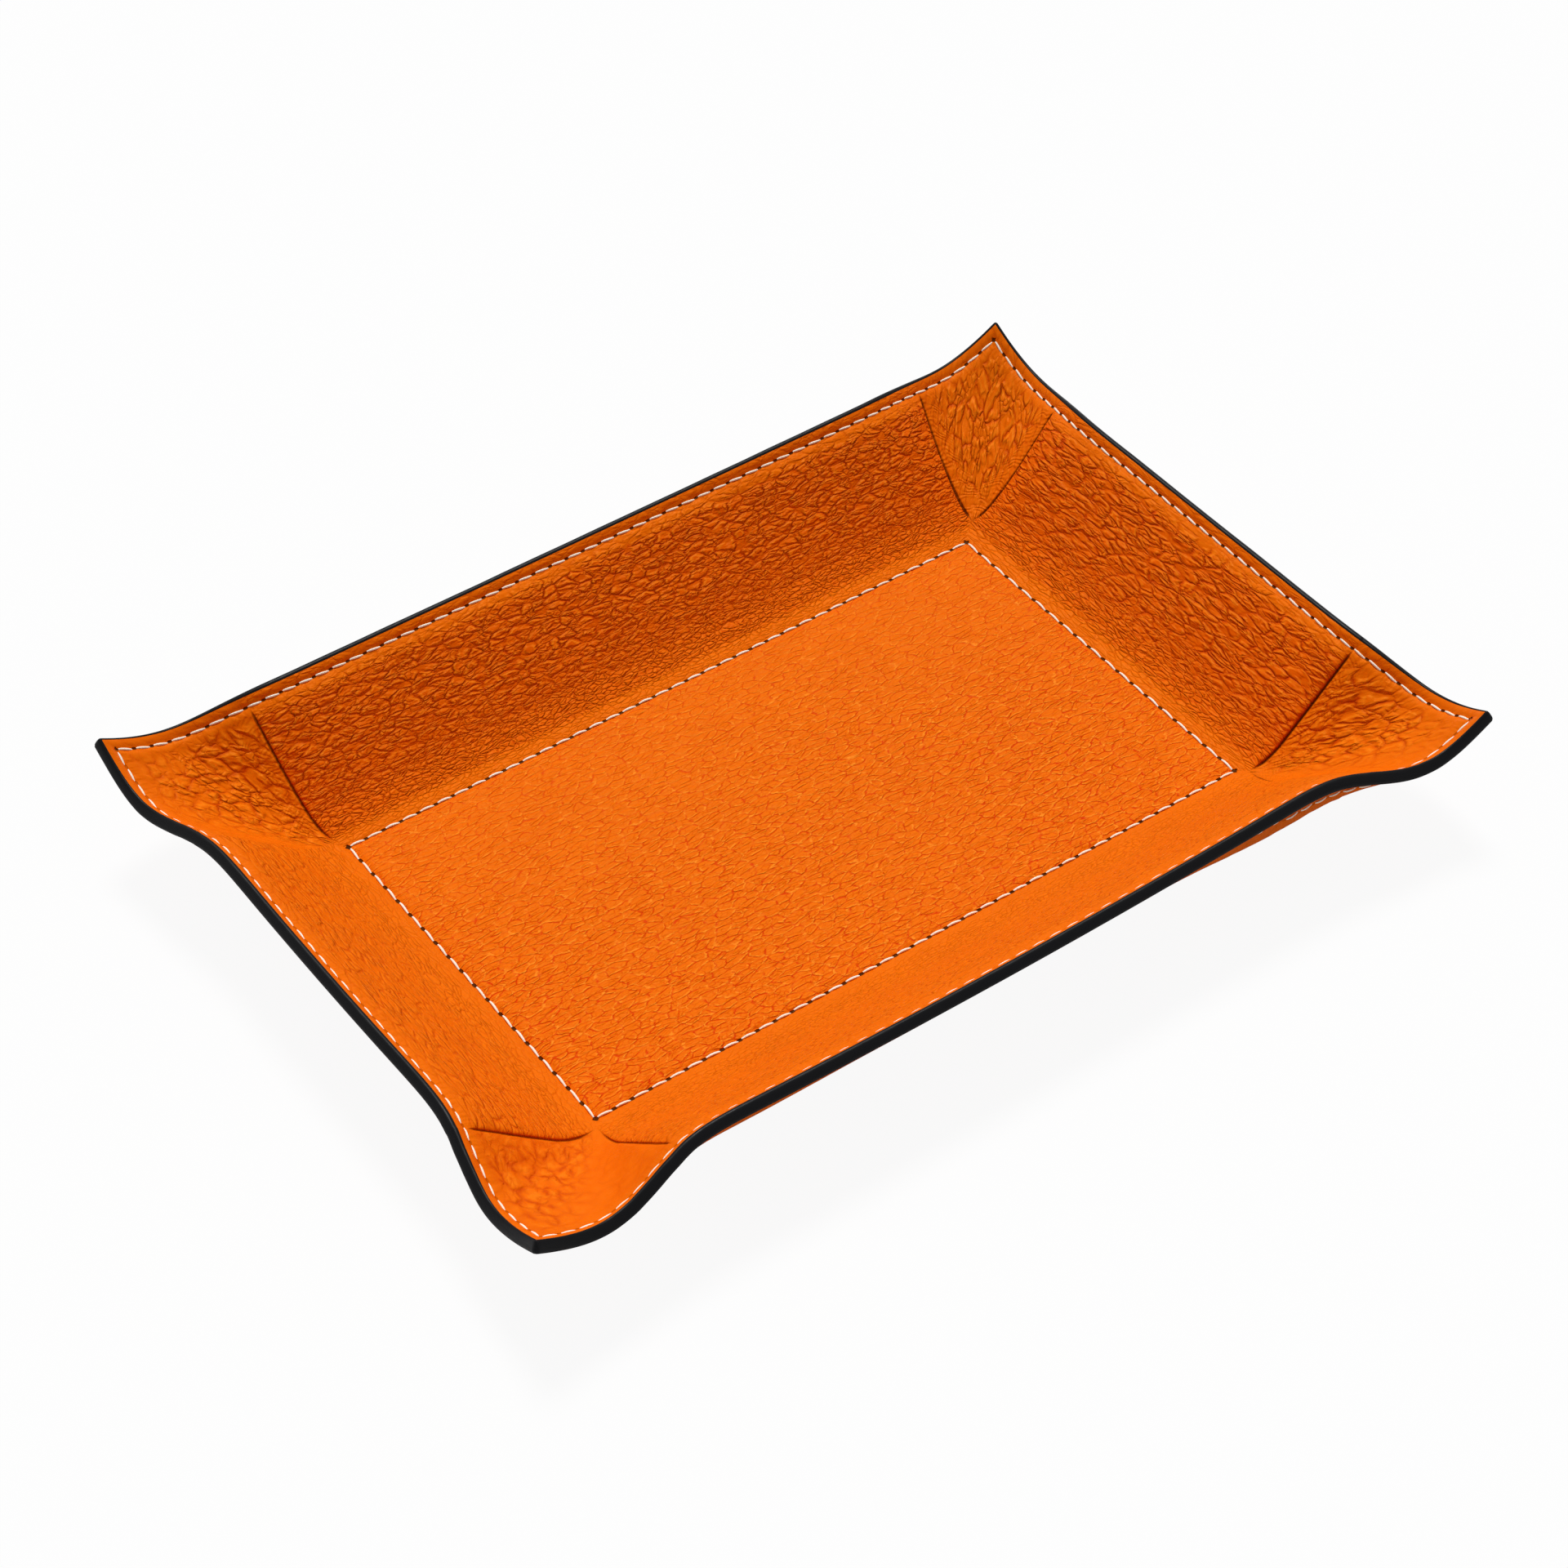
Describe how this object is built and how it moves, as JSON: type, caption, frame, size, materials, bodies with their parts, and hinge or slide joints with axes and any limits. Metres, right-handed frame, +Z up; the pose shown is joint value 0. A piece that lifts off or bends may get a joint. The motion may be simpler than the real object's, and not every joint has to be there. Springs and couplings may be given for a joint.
{
  "type": "rectangular leather tray",
  "caption": "Shallow rectangular leather tray with sloping stitched walls, flared pointed corners and a black painted edge.",
  "frame": {"origin": "under the middle of the tray, on the surface it stands on", "axes": "+X along the length, towards the right wall; +Y across the width, towards the back wall; +Z up"},
  "size_m": [0.2772, 0.1948, 0.0332],
  "materials": {
    "inner_leather": "pebbled orange calf leather, low sheen",
    "outer_leather": "pebbled orange calf leather, a little darker than the inside",
    "board": "plain grey-brown stiffening board, hidden inside",
    "edge_paint": "thick black edge paint, rounded, satin",
    "thread": "waxed off-white sewing thread"
  },
  "bodies": {
    "root": {"inner_leather": "inner_leather", "outer_leather": "outer_leather", "base_board": "board", "back_wall_board": "board", "front_wall_board": "board", "right_wall_board": "board", "left_wall_board": "board", "edge_paint": "edge_paint", "base_needle_thread": "thread", "base_bobbin_thread": "thread", "rim_needle_thread": "thread", "rim_bobbin_thread": "thread"}
  },
  "joints": []
}
